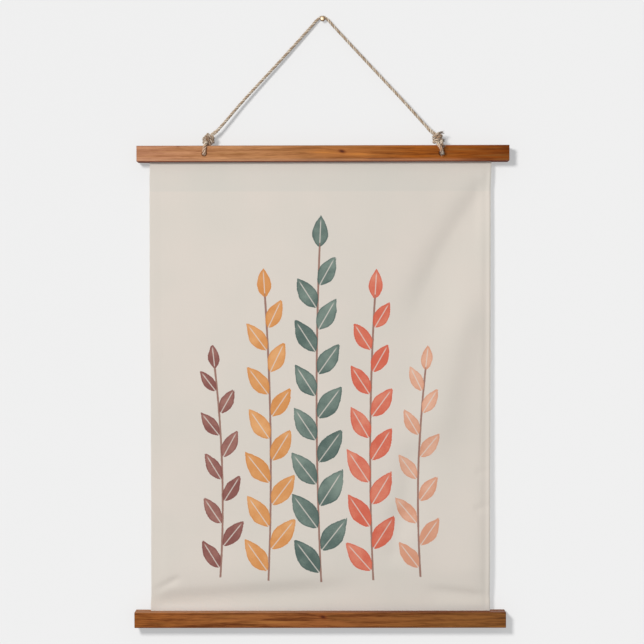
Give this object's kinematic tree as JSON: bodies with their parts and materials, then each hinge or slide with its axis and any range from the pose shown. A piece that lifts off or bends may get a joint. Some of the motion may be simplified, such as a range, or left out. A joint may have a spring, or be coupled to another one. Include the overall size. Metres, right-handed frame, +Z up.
{
  "type": "framed wall hanging with wooden rails, hanging twine and nail",
  "caption": "Printed cotton cloth held flat between wooden rails along its top and bottom edges, hanging on a knotted jute twine from a round-headed brass nail.",
  "frame": {"origin": "where the nail's axis meets the wall's face", "axes": "+Z up, +X to the viewer's right, +Y into the wall, so the hanging lies at negative Y and is seen from there"},
  "size_m": [0.4746, 0.0478, 0.7763],
  "materials": {
    "top_rail_pine": "stained pine, low sheen",
    "bottom_rail_pine": "darker stained pine, low sheen",
    "natural_cotton": "matt plain-woven canvas with a printed leaf design",
    "jute": "matt hairy twisted fibre",
    "brass": "worn satin"
  },
  "bodies": {
    "root": {"top_rail_front": "top_rail_pine", "top_rail_back": "top_rail_pine", "bottom_rail_front": "bottom_rail_pine", "bottom_rail_back": "bottom_rail_pine", "cloth_panel": "natural_cotton", "hanging_twine": "jute", "wall_nail": "brass"}
  },
  "joints": []
}
